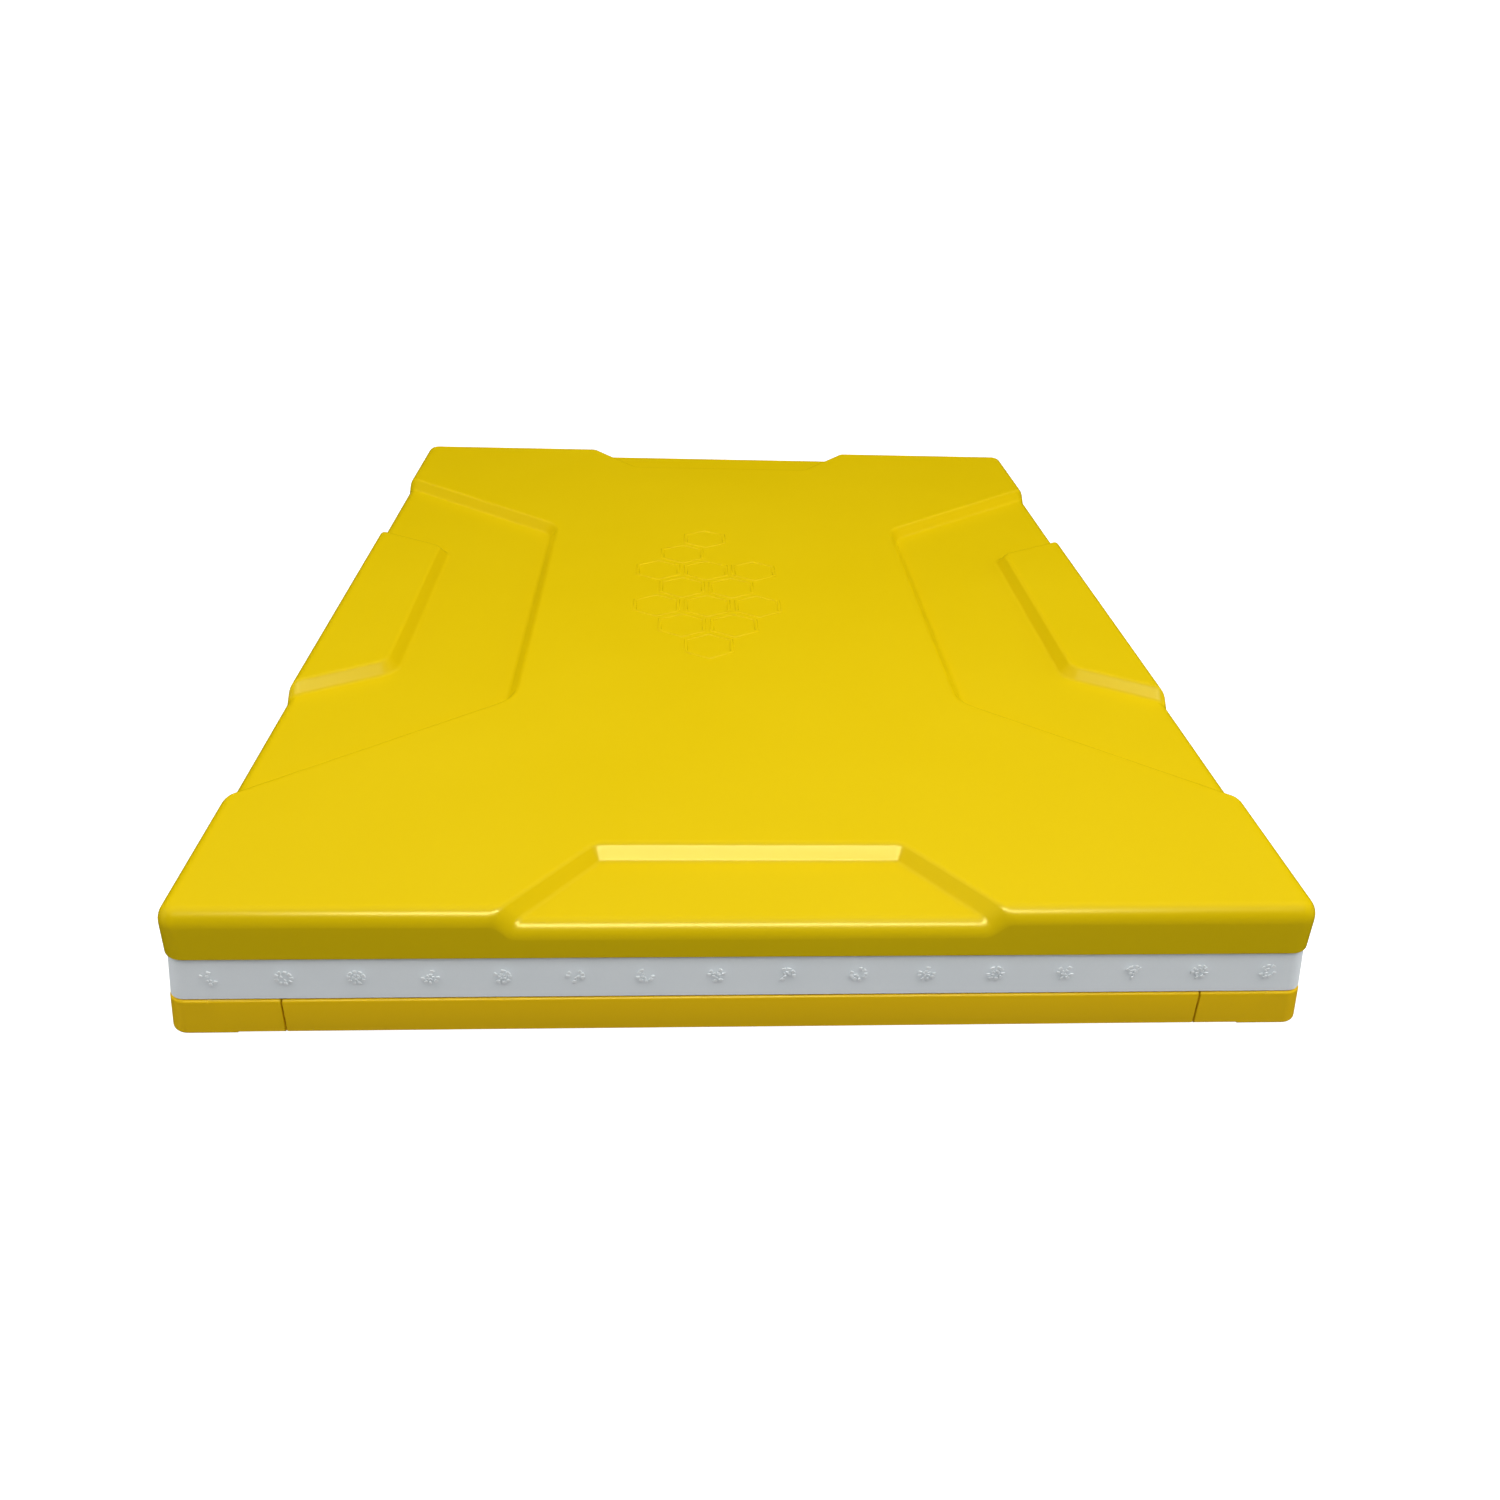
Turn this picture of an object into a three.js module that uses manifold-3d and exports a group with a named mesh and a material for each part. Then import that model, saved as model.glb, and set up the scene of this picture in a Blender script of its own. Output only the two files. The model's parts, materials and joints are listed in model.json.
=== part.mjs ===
// Insulated roof of a ten-frame plastic beehive, in millimetres, +Z up.
// The origin is the middle of the footprint, on the plane that the roof stands on.
// From the bottom up: a frame of four box-section rails plugged onto four corner blocks, a ceiling
// board lying in the frame's rebate, a moulded polystyrene block, and a thin cover with strap channels.
// The block and the cover are held by their weight alone, so each lifts straight off the layer below.

import * as THREE from "three";
import { mergeVertices } from "three/addons/utils/BufferGeometryUtils.js";
import Module from "manifold-3d";

const wasm = await Module();
wasm.setup();

// Driving dimensions
const COVER_LENGTH = 610; // along Y, between the sharp top edges
const COVER_WIDTH = 492; // along X
const FRAME_HEIGHT = 17.5;
const BAND_HEIGHT = 21.5; // insulation that shows between the frame and the cover
const COVER_HEIGHT = 24;
const GAP = 0.3; // between pieces that touch
const SEAM = 0.5; // between a rail's end and its corner
const CORNER_STEPS = 6; // facets in a quarter turn, seen from above
const EDGE_STEPS = 4; // facets in a quarter turn, seen from the side

const HALF = { x: COVER_WIDTH / 2, y: COVER_LENGTH / 2 };
const RIM_Z = FRAME_HEIGHT + BAND_HEIGHT;
const TOP_Z = RIM_Z + COVER_HEIGHT;

// Cover
const COVER_WALL = 3;
const COVER_CORNER = 9; // plan radius
const COVER_EDGE = 6; // rounding of the top edge
const COVER_DRAFT = 1.4; // how far each side leans out between the top and the rim
const RIB = { thickness: 2.2, foot: TOP_Z - 12, x: [-80, 0, 80], y: [-225, -75, 75, 225] };

// Relief in the top: channels sunk below the plateau, with sloping walls
const CHANNEL_DEPTH = 6.6;
const WALL_RUN = 5.7; // plan width of a sloping wall
const OVERRUN = 40; // how far a cutter runs out past the edge it opens onto
const NOTCH = { halfWidth: 70, halfMouth: 109, reach: 48 }; // front and back
const CHANNEL = { inner: 121, halfLength: 126, halfMouth: 222 }; // left and right, to its crest
const PAD = { inner: 198, halfLength: 84, halfMouth: 111 }; // island at the side edge, to its crest

// Insulation
const BAND_PROUD = 0.3; // past the cover's top edges, at the band's own top
const BAND_DRAFT = 2.3; // how far its sides lean out between its top and its foot
const BAND_CORNER = 8; // plan radius
const BAND_EDGE = 0.7;
const PLUG_INSET = 6.5; // the part that fills the cover, inside the band
const PLUG_TOP = RIB.foot - 0.5;
const BAND_MIDDLE = RIM_Z - BAND_HEIGHT / 2;

// Frame
const FRAME_PROUD = 4.8; // past the cover's top edges, at the foot
const FRAME_DRAFT = 1.8; // how far the outer faces lean in between the foot and the top
const RING_WIDTH = 30;
const RING_WALL = 2.8;
const EASE = 1.2; // on the long outer edges
const REBATE = { width: 10, height: 11 }; // the ledge that carries the board
const CORNER = { leg: 50, radius: 9 };
const SPIGOT = { length: 24, root: 4, gap: 0.35 };
const CORE_INSET = 6; // of the corner's hollow, which opens upwards under the insulation

// Ceiling board
const BOARD = { thickness: 2.5, gap: 0.8, border: 36 }; // gap: around its edge
const BEAD = { width: 3, height: 1.5, x: [-105, 0, 105], y: [-180, -60, 60, 180] };

// Countersunk screws that go up through the rails into the spigots
const SCREW = { head: 3.8, headHeight: 2.2, rim: 0.4, shank: 1.5, tip: 2, length: 12, sides: 16 };
const SCREW_RECESS = 0.2;
const SCREW_PLACE = { fromSeam: 12, in: 14 }; // in: from the outer face

const YELLOW = new THREE.MeshStandardMaterial({ color: 0xe9cb05, roughness: 0.38, metalness: 0 });
const FRAME_YELLOW = new THREE.MeshStandardMaterial({ color: 0xe6bd04, roughness: 0.42, metalness: 0 });
const FOAM_WHITE = new THREE.MeshStandardMaterial({ color: 0xe9ecee, roughness: 0.85, metalness: 0 });
const BOARD_WHITE = new THREE.MeshStandardMaterial({ color: 0xe4e2dc, roughness: 0.5, metalness: 0 });
const SCREW_STEEL = new THREE.MeshStandardMaterial({ color: 0xb9bcbe, roughness: 0.3, metalness: 1 });

// ---------------------------------------------------------------- helpers

/** A closed three.js geometry as a manifold-3d solid. */
function solid(geometry) {
  const bare = new THREE.BufferGeometry();
  bare.setAttribute("position", geometry.getAttribute("position"));
  if (geometry.index) bare.setIndex(geometry.index);
  const merged = mergeVertices(bare, 1e-4);
  return new wasm.Manifold(
    new wasm.Mesh({
      numProp: 3,
      vertProperties: new Float32Array(merged.getAttribute("position").array),
      triVerts: new Uint32Array(merged.index.array),
    }),
  );
}

/** A manifold-3d solid as a named mesh. */
function piece(name, body, material) {
  const { vertProperties, triVerts } = body.getMesh();
  const geometry = new THREE.BufferGeometry();
  geometry.setAttribute("position", new THREE.BufferAttribute(vertProperties, 3));
  geometry.setIndex(new THREE.BufferAttribute(triVerts, 1));
  geometry.computeVertexNormals();
  const mesh = new THREE.Mesh(geometry, material);
  mesh.name = name;
  return mesh;
}

/** A box between two corners. */
function block([x0, y0, z0], [x1, y1, z1]) {
  const geometry = new THREE.BoxGeometry(x1 - x0, y1 - y0, z1 - z0);
  geometry.translate((x0 + x1) / 2, (y0 + y1) / 2, (z0 + z1) / 2);
  return solid(geometry);
}

/** A rectangle with round corners, centred on the origin. */
function roundedRectangle(halfX, halfY, radius) {
  const shape = new THREE.Shape();
  shape.absarc(halfX - radius, halfY - radius, radius, 0, Math.PI / 2);
  shape.absarc(radius - halfX, halfY - radius, radius, Math.PI / 2, Math.PI);
  shape.absarc(radius - halfX, radius - halfY, radius, Math.PI, 1.5 * Math.PI);
  shape.absarc(halfX - radius, radius - halfY, radius, 1.5 * Math.PI, 2 * Math.PI);
  return shape;
}

/**
 * A slab with round corners between two heights, with `edge` the rounding of its top and bottom
 * edges. Its sides lean outwards below the top: by `lean` for each millimetre down.
 */
function slab({ halfX, halfY, corner, edge, z0, z1, lean = 0 }) {
  const shape = roundedRectangle(halfX - edge, halfY - edge, corner - edge);
  const geometry = new THREE.ExtrudeGeometry(shape, {
    depth: z1 - z0 - 2 * edge,
    bevelSize: edge,
    bevelThickness: edge,
    bevelSegments: EDGE_STEPS,
    curveSegments: CORNER_STEPS,
  });
  geometry.translate(0, 0, z0 + edge);
  const position = geometry.getAttribute("position");
  for (let i = 0; i < position.count; i++) {
    const out = lean * (z1 - position.getZ(i));
    position.setX(i, position.getX(i) + out * Math.sign(position.getX(i)));
    position.setY(i, position.getY(i) + out * Math.sign(position.getY(i)));
  }
  return geometry;
}

/** A shape pushed straight along its normal. */
function extruded(shape, depth) {
  return new THREE.ExtrudeGeometry(shape, {
    depth,
    bevelEnabled: false,
    curveSegments: CORNER_STEPS,
  });
}

/** A bar along X between two places, from a section drawn as [y, z]. */
function barAlongX(section, x0, x1) {
  const geometry = extruded(section, x1 - x0);
  geometry.rotateX(Math.PI / 2);
  geometry.rotateZ(Math.PI / 2);
  geometry.translate(x0, 0, 0);
  return solid(geometry);
}

/** A bar along Y between two places, from a section drawn as [x, z]. */
function barAlongY(section, y0, y1) {
  const geometry = extruded(section, y1 - y0);
  geometry.rotateX(Math.PI / 2);
  geometry.translate(0, y1, 0);
  return solid(geometry);
}

/** An outline from a list of its corners. */
function outline(points) {
  return new THREE.Shape(points.map(([x, y]) => new THREE.Vector2(x, y)));
}

/** A geometry as a solid, joined with its copy on the opposite side of the Z axis. */
function bothSides(geometry) {
  const opposite = geometry.clone().rotateZ(Math.PI);
  return solid(geometry).add(solid(opposite));
}

/** Solids joined into one. */
function joined(solids) {
  return solids.reduce((sum, each) => sum.add(each));
}

// ---------------------------------------------------------------- cover

/**
 * A cutter whose foot is the outline at `floor`. Its walls spread by WALL_RUN up to the plateau, and
 * all of them stand `grow` further out when it shapes the underside of the moulding.
 */
function cutter(shape, floor, grow) {
  const geometry = new THREE.ExtrudeGeometry(shape, {
    depth: 2 * COVER_HEIGHT,
    bevelSize: WALL_RUN,
    bevelThickness: CHANNEL_DEPTH,
    bevelOffset: grow,
    bevelSegments: 1,
  });
  return geometry.translate(0, 0, floor + CHANNEL_DEPTH);
}

/** Floor outline of the front channel, which runs out past the front edge. */
function notchFloor() {
  const { halfWidth, halfMouth, reach } = NOTCH;
  const slope = (halfMouth - halfWidth) / reach;
  const half = (y) => halfMouth - slope * y - WALL_RUN * Math.hypot(1, slope);
  const front = -OVERRUN;
  const back = reach - WALL_RUN;
  return outline([
    [half(front), front - HALF.y],
    [half(back), back - HALF.y],
    [-half(back), back - HALF.y],
    [-half(front), front - HALF.y],
  ]);
}

/**
 * Outline of a flared trapezoid that opens onto the right-hand side and runs out past it. Its three
 * inner sides stand `inset` inside the crest lines that its size gives.
 */
function sideOutline({ inner, halfLength, halfMouth }, inset) {
  const slope = (halfMouth - halfLength) / (HALF.x - inner);
  const half = (x) => halfLength + slope * (x - inner) - inset * Math.hypot(1, slope);
  const left = inner + inset;
  const right = HALF.x + OVERRUN;
  return outline([
    [right, -half(right)],
    [right, half(right)],
    [left, half(left)],
    [left, -half(left)],
  ]);
}

/** The island in the right-hand channel, with walls that spread downwards to the floor. */
function pad(floor, shrink) {
  const geometry = new THREE.ExtrudeGeometry(sideOutline(PAD, 0), {
    depth: 1,
    bevelSize: 2 * WALL_RUN,
    bevelThickness: 2 * CHANNEL_DEPTH,
    bevelOffset: -WALL_RUN - shrink,
    bevelSegments: 1,
  });
  return geometry.translate(0, 0, floor - 1);
}

/** Everything sunk into the top: floors at `floor`, and walls that stand `grow` further out. */
function relief(floor, grow) {
  const notches = bothSides(cutter(notchFloor(), floor, grow));
  const channels = bothSides(cutter(sideOutline(CHANNEL, WALL_RUN), floor, grow));
  return notches.add(channels.subtract(bothSides(pad(floor, grow))));
}

/** Stiffening ribs under the plateau, running the whole way across. */
function ribs() {
  const half = RIB.thickness / 2;
  const across = RIB.y.map((y) => block([-HALF.x, y - half, RIB.foot], [HALF.x, y + half, TOP_Z]));
  const along = RIB.x.map((x) => block([x - half, -HALF.y, RIB.foot], [x + half, HALF.y, TOP_Z]));
  return joined([...across, ...along]);
}

/** A solid block of the cover's outer shape, with every face `inset` inside it. */
function coverBlock(inset) {
  return solid(
    slab({
      halfX: HALF.x - inset,
      halfY: HALF.y - inset,
      corner: COVER_CORNER - inset,
      edge: COVER_EDGE - inset,
      z0: RIM_Z - COVER_EDGE,
      z1: TOP_Z - inset,
      lean: COVER_DRAFT / COVER_HEIGHT,
    }),
  );
}

function cover() {
  const floor = TOP_Z - CHANNEL_DEPTH;
  const underside = relief(floor - COVER_WALL, COVER_WALL / 2);
  const hollow = coverBlock(COVER_WALL).subtract(underside).subtract(ribs());
  const belowRim = block([-HALF.y, -COVER_LENGTH, 0], [HALF.y, COVER_LENGTH, RIM_Z]);
  return coverBlock(0).subtract(relief(floor, 0)).subtract(hollow).subtract(belowRim);
}

// ---------------------------------------------------------------- insulation

const OUTER = { x: HALF.x + FRAME_PROUD, y: HALF.y + FRAME_PROUD }; // foot of the frame's outer faces
const REBATE_INSET = RING_WIDTH - REBATE.width;
const BOARD_FOOT = REBATE.height + GAP;
const BOARD_TOP = BOARD_FOOT + BOARD.thickness;

/** The band that shows, the plug that fills the cover and the step that drops into the frame. */
function insulation() {
  const layer = (halfX, halfY, z0, z1, lean = 0) =>
    solid(slab({ halfX, halfY, corner: BAND_CORNER, edge: BAND_EDGE, z0, z1, lean }));
  const stepInset = REBATE_INSET + 2 * BOARD.gap;
  const [bandX, bandY] = [HALF.x + BAND_PROUD, HALF.y + BAND_PROUD];
  return joined([
    layer(bandX, bandY, FRAME_HEIGHT + GAP, RIM_Z - GAP, BAND_DRAFT / BAND_HEIGHT),
    layer(HALF.x - PLUG_INSET, HALF.y - PLUG_INSET, BAND_MIDDLE, PLUG_TOP),
    layer(OUTER.x - stepInset, OUTER.y - stepInset, BOARD_TOP + GAP, BAND_MIDDLE),
  ]);
}

// ---------------------------------------------------------------- ceiling board

/** A sheet that closes the underside, with a grid of stiffening beads below it. */
function ceilingBoard() {
  const inset = REBATE_INSET + BOARD.gap;
  const [halfX, halfY] = [OUTER.x - inset, OUTER.y - inset];
  const [beadX, beadY] = [halfX - BOARD.border, halfY - BOARD.border];
  const half = BEAD.width / 2;
  const z0 = BOARD_FOOT - BEAD.height;
  return joined([
    block([-halfX, -halfY, BOARD_FOOT], [halfX, halfY, BOARD_TOP]),
    ...BEAD.x.map((x) => block([x - half, -beadY, z0], [x + half, beadY, BOARD_TOP - 1])),
    ...BEAD.y.map((y) => block([-beadX, y - half, z0], [beadX, y + half, BOARD_TOP - 1])),
  ]);
}

// ---------------------------------------------------------------- frame
// Rails and corners are drawn with their outer faces on the X and Y axes and turned into place.

/** How far the outer face stands in at a height, from where it is at the foot. */
function faceAt(z) {
  return (FRAME_DRAFT * z) / FRAME_HEIGHT;
}

/** The frame's section, as [distance in from the foot of the outer face, height]. */
function ringSection() {
  return outline([
    [EASE, 0],
    [RING_WIDTH, 0],
    [RING_WIDTH, REBATE.height],
    [REBATE_INSET, REBATE.height],
    [REBATE_INSET, FRAME_HEIGHT],
    [FRAME_DRAFT + EASE, FRAME_HEIGHT],
    [faceAt(FRAME_HEIGHT - EASE), FRAME_HEIGHT - EASE],
    [faceAt(EASE), EASE],
  ]);
}

/** The section of a rail's hollow, or of what fills it with a gap all round. */
function hollowSection(gap) {
  const wall = RING_WALL + gap;
  const outer = FRAME_DRAFT + wall;
  return outline([
    [outer, wall],
    [RING_WIDTH - wall, wall],
    [RING_WIDTH - wall, REBATE.height - wall],
    [REBATE_INSET - wall, REBATE.height - wall],
    [REBATE_INSET - wall, FRAME_HEIGHT - wall],
    [outer, FRAME_HEIGHT - wall],
  ]);
}

/** A countersunk screw standing on its head, or with a gap the hole that it goes in. */
function screw(gap) {
  const { head, headHeight, rim, shank, tip, length, sides } = SCREW;
  const profile = [
    [0, -gap],
    [head + gap, -gap],
    [head + gap, rim],
    [shank + gap, headHeight + gap],
    [shank + gap, length - tip],
    [0, length + gap],
  ];
  const points = profile.map(([r, z]) => new THREE.Vector2(r, z));
  return new THREE.LatheGeometry(points, sides).rotateX(Math.PI / 2);
}

/** A screw's hole at a place in the frame's plane. */
function screwHole(x, y) {
  return solid(screw(GAP).translate(x, y, SCREW_RECESS));
}

/** A rail along X, centred, with its outer face at y = 0. */
function rail(length) {
  const end = length / 2;
  const screwX = end - SCREW_PLACE.fromSeam;
  return barAlongX(ringSection(), -end, end)
    .subtract(barAlongX(hollowSection(0), -length, length))
    .subtract(screwHole(screwX, SCREW_PLACE.in))
    .subtract(screwHole(-screwX, SCREW_PLACE.in));
}

/** The outer shape of a corner block: two legs that meet at the origin, along +X and +Y. */
function cornerBody() {
  const { leg, radius } = CORNER;
  const envelope = slab({
    halfX: 2 * leg - FRAME_DRAFT,
    halfY: 2 * leg - FRAME_DRAFT,
    corner: radius,
    edge: EASE,
    z0: 0,
    z1: FRAME_HEIGHT,
    lean: FRAME_DRAFT / FRAME_HEIGHT,
  }).translate(2 * leg, 2 * leg, 0);
  return barAlongX(ringSection(), 0, leg)
    .add(barAlongY(ringSection(), 0, leg))
    .add(block([0, 0, 0], [REBATE_INSET, REBATE_INSET, FRAME_HEIGHT]))
    .intersect(solid(envelope));
}

/** Where the two screws of a corner stand: the one in the leg along X, then along Y. */
function screwPlaces() {
  const along = CORNER.leg + SEAM + SCREW_PLACE.fromSeam;
  return [
    [along, SCREW_PLACE.in],
    [SCREW_PLACE.in, along],
  ];
}

/** A corner block, open upwards between its walls, with a spigot at the end of each leg. */
function cornerBlock() {
  const { leg } = CORNER;
  const root = leg - SPIGOT.root;
  const tip = leg + SPIGOT.length;
  const coreWidth = REBATE_INSET - RING_WALL;
  const corner = [CORE_INSET, CORE_INSET, RING_WALL];
  const spigot = hollowSection(SPIGOT.gap);
  const holes = joined(screwPlaces().map(([x, y]) => screwHole(x, y)));
  return cornerBody()
    .subtract(block(corner, [root, coreWidth, 2 * FRAME_HEIGHT]))
    .subtract(block(corner, [coreWidth, root, 2 * FRAME_HEIGHT]))
    .add(barAlongX(spigot, root, tip))
    .add(barAlongY(spigot, root, tip))
    .subtract(holes);
}

// ---------------------------------------------------------------- assembly

// Turned anticlockwise from the front: where each rail's middle lies, as a share of OUTER.
const RAILS = [
  { name: "front_rail", at: [0, -1], span: "x" },
  { name: "right_rail", at: [1, 0], span: "y" },
  { name: "back_rail", at: [0, 1], span: "x" },
  { name: "left_rail", at: [-1, 0], span: "y" },
];

// Each corner's screws are named for the rail that they hold: the one along its own X leg first.
const CORNERS = [
  { name: "front_left_corner", at: [-1, -1], screws: ["front_rail_left", "left_rail_front"] },
  { name: "front_right_corner", at: [1, -1], screws: ["right_rail_front", "front_rail_right"] },
  { name: "back_right_corner", at: [1, 1], screws: ["back_rail_right", "right_rail_back"] },
  { name: "back_left_corner", at: [-1, 1], screws: ["left_rail_back", "back_rail_left"] },
];

/** Puts an object at a share of the frame's outer size, turned by a number of quarter turns. */
function place(object, [x, y], quarterTurns) {
  object.position.set(x * OUTER.x, y * OUTER.y, 0);
  object.rotation.z = (quarterTurns * Math.PI) / 2;
  return object;
}

function rails() {
  return RAILS.map(({ name, at, span }, turns) => {
    const length = 2 * (OUTER[span] - CORNER.leg - SEAM);
    return place(piece(name, rail(length), FRAME_YELLOW), at, turns);
  });
}

/** The four corner blocks, each in a group with its screws. */
function corners() {
  return CORNERS.map(({ name, at, screws }, turns) => {
    const group = new THREE.Group();
    group.add(piece(name, cornerBlock(), FRAME_YELLOW));
    screwPlaces().forEach(([x, y], leg) => {
      const one = piece(`${screws[leg]}_screw`, solid(screw(0)), SCREW_STEEL);
      one.position.set(x, y, SCREW_RECESS);
      group.add(one);
    });
    return place(group, at, turns);
  });
}

const roof = new THREE.Group();
roof.add(
  ...rails(),
  ...corners(),
  piece("ceiling_board", ceilingBoard(), BOARD_WHITE),
  piece("insulation_block", insulation(), FOAM_WHITE),
  piece("cover_shell", cover(), YELLOW),
);

export default roof;
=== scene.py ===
"""Looks of an insulated beehive roof: a moulded cover over a foam block on a framed base.

Lengths are in metres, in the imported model's frame: +Z up, origin in the middle of the footprint.
"""

import json
import math
import random

import bmesh
import bpy
from mathutils import Matrix, Vector
from mathutils.geometry import delaunay_2d_cdt


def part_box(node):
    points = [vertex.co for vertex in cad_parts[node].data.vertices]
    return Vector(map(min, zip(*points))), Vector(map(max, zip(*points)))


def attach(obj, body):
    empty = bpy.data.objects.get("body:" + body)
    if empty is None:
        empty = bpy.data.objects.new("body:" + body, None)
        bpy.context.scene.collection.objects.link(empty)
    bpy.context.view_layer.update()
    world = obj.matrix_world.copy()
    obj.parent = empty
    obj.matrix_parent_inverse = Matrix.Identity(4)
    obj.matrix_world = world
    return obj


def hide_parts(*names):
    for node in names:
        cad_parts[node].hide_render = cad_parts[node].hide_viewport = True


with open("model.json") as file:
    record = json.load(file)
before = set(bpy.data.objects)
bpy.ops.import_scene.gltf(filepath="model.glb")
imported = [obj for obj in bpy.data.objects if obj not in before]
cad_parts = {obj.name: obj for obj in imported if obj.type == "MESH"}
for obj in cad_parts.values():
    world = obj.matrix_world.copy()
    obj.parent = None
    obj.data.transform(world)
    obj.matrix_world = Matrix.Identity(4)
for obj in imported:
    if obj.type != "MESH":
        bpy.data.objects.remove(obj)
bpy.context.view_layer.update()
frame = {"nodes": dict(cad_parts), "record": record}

MM = 0.001
QUARTER = math.pi / 2
SAME = 1e-7  # points closer than this are one point
GAP = 0.3 * MM  # between pieces that touch
ARRIS_STEPS = 3  # facets round a small edge

# ---------------------------------------------------------------- dimensions

COVER_LOW, COVER_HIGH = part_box("cover_shell")
FOAM_LOW, FOAM_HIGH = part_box("insulation_block")
RAIL_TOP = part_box("front_rail")[1].z

# Cover
DRAFT = 1.4 * MM  # how far each side leans out between the top and the rim
MOTIF_HEIGHT = 0.45 * MM
COVER_TOP = COVER_HIGH.z - MOTIF_HEIGHT
COVER_RIM = COVER_LOW.z
COVER_HALF = Vector((COVER_HIGH.x - DRAFT, COVER_HIGH.y - DRAFT))
COVER_CORNER = 9 * MM
LEAN = DRAFT / (COVER_TOP - COVER_RIM)
WALL = 3 * MM
EDGE_RUN = 5.8 * MM  # the top edge is a quarter of an ellipse: its size in plan and in height
EDGE_FALL = 8 * MM
EDGE_STEPS = 8
RIM_ROUND = 0.5 * MM
SUPPORT = 0.6 * MM  # a ring of flat surface beside each rounding, which keeps the shading clean

# Relief in the cover's top
DEPTH = 6.6 * MM
RUN = 5.7 * MM  # plan width of a sloping wall
FILLET = 3.4 * MM
FILLET_STEPS = 5
ARC_STEP = math.radians(9)  # turn between the points of a round corner
OVERRUN = 40 * MM  # how far a channel's outline runs out past the cover's edge
NOTCH = {"half_width": 70 * MM, "half_mouth": 109 * MM, "reach": 48 * MM, "radius": 8 * MM}
CHANNEL = {"inner": 121 * MM, "half_length": 126 * MM, "half_mouth": 222 * MM, "radius": 22 * MM}
PAD = {"inner": 198 * MM, "half_length": 84 * MM, "half_mouth": 111 * MM, "radius": 9 * MM}

# Honeycomb motif on the plateau
MOTIF_CENTRE = Vector((-15 * MM, 20 * MM))
MOTIF_PITCH = 32 * MM
MOTIF_APOTHEM = 13.5 * MM
MOTIF_RIDGE = 0.7 * MM  # half the width of a ridge's flat top
MOTIF_SLOPE = 0.5 * MM
MOTIF_ROWS = {  # the columns in which each row has a cell
    -3: [0],
    -2: [-0.5, 0.5],
    -1: [-1, 0, 1],
    0: [-0.5, 0.5],
    1: [-1, 0, 1],
    2: [-0.5],
    3: [0],
}

# Ribs under the cover
RIB_HALF = 1.1 * MM  # half a rib's thickness
RIB_FOOT = COVER_TOP - 12 * MM
RIB_STEP = 3 * MM  # length of the segments in which a rib's root follows the cover
RIBS_X = [-80 * MM, 0, 80 * MM]
RIBS_Y = [-225 * MM, -75 * MM, 75 * MM, 225 * MM]


# ---------------------------------------------------------------- plan outlines

def cross(a, b):
    """Cross product of two plan vectors."""
    return a.x * b.y - a.y * b.x


def sides(points):
    """Each corner of a closed outline with the next one."""
    return list(zip(points, points[1:] + points[:1]))


def moved_sides(points, distance):
    """A convex anticlockwise outline with each side moved outwards by a distance."""
    result = []
    for i, corner in enumerate(points):
        before = (corner - points[i - 1]).normalized()
        after = (points[(i + 1) % len(points)] - corner).normalized()
        first = Vector((before.y, -before.x))
        second = Vector((after.y, -after.x))
        result.append(corner + (first + second) * (distance / (1 + first.dot(second))))
    return result


class Region:
    """A convex plan outline with round corners, which knows how far a point is from it."""

    def __init__(self, corners, radius):
        self.radius = radius
        self.core = moved_sides([Vector(c) for c in corners], -radius)

    def nearest(self, point):
        """The nearest point on the core's outline."""
        best = None
        for a, b in sides(self.core):
            side = b - a
            share = min(1, max(0, (point - a).dot(side) / side.length_squared))
            candidate = a + share * side
            if best is None or (candidate - point).length < (best - point).length:
                best = candidate
        return best

    def distance(self, point):
        """Distance to the outline, negative inside."""
        beyond = max(-cross(b - a, point - a) / (b - a).length for a, b in sides(self.core))
        if beyond > 0:
            beyond = (point - self.nearest(point)).length
        return beyond - self.radius

    def outward(self, point):
        """The direction straight out of the outline, at a point outside the core."""
        return (point - self.nearest(point)).normalized()

    def contour(self, distance):
        """The closed line at a distance outside the outline, or inside it if negative."""
        radius = self.radius + distance
        if radius <= 0:
            return moved_sides(self.core, radius)
        points = []
        for i, corner in enumerate(self.core):
            before = corner - self.core[i - 1]
            after = self.core[(i + 1) % len(self.core)] - corner
            start = math.atan2(-before.x, before.y)
            turn = math.atan2(cross(before, after), before.dot(after))
            steps = math.ceil(turn / ARC_STEP)
            for k in range(steps + 1):
                angle = start + turn * k / steps
                points.append(corner + radius * Vector((math.cos(angle), math.sin(angle))))
        return points


def rectangle(half_x, half_y, radius):
    """A rectangle with round corners, centred on the origin."""
    corners = [(-half_x, -half_y), (half_x, -half_y), (half_x, half_y), (-half_x, half_y)]
    return Region(corners, radius)


def flared(wide, narrow, reach, edge, radius):
    """
    A trapezoid that opens onto the edge at x = edge, `wide` on either side of the middle there and
    `narrow` at its far end, `reach` further in. It runs out past the edge.
    """
    slope = (wide - narrow) / reach
    mouth = wide + slope * OVERRUN
    out = edge + OVERRUN
    inner = edge - reach
    return Region([(inner, narrow), (inner, -narrow), (out, -mouth), (out, mouth)], radius)


OUTLINE = rectangle(COVER_HALF.x, COVER_HALF.y, COVER_CORNER)
NOTCH_REGION = flared(
    NOTCH["half_mouth"],
    NOTCH["half_width"],
    NOTCH["reach"],
    COVER_HALF.y,
    NOTCH["radius"],
)
CHANNEL_REGION, PAD_REGION = (
    flared(
        size["half_mouth"],
        size["half_length"],
        COVER_HALF.x - size["inner"],
        COVER_HALF.x,
        size["radius"],
    )
    for size in (CHANNEL, PAD)
)

# ---------------------------------------------------------------- relief

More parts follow.
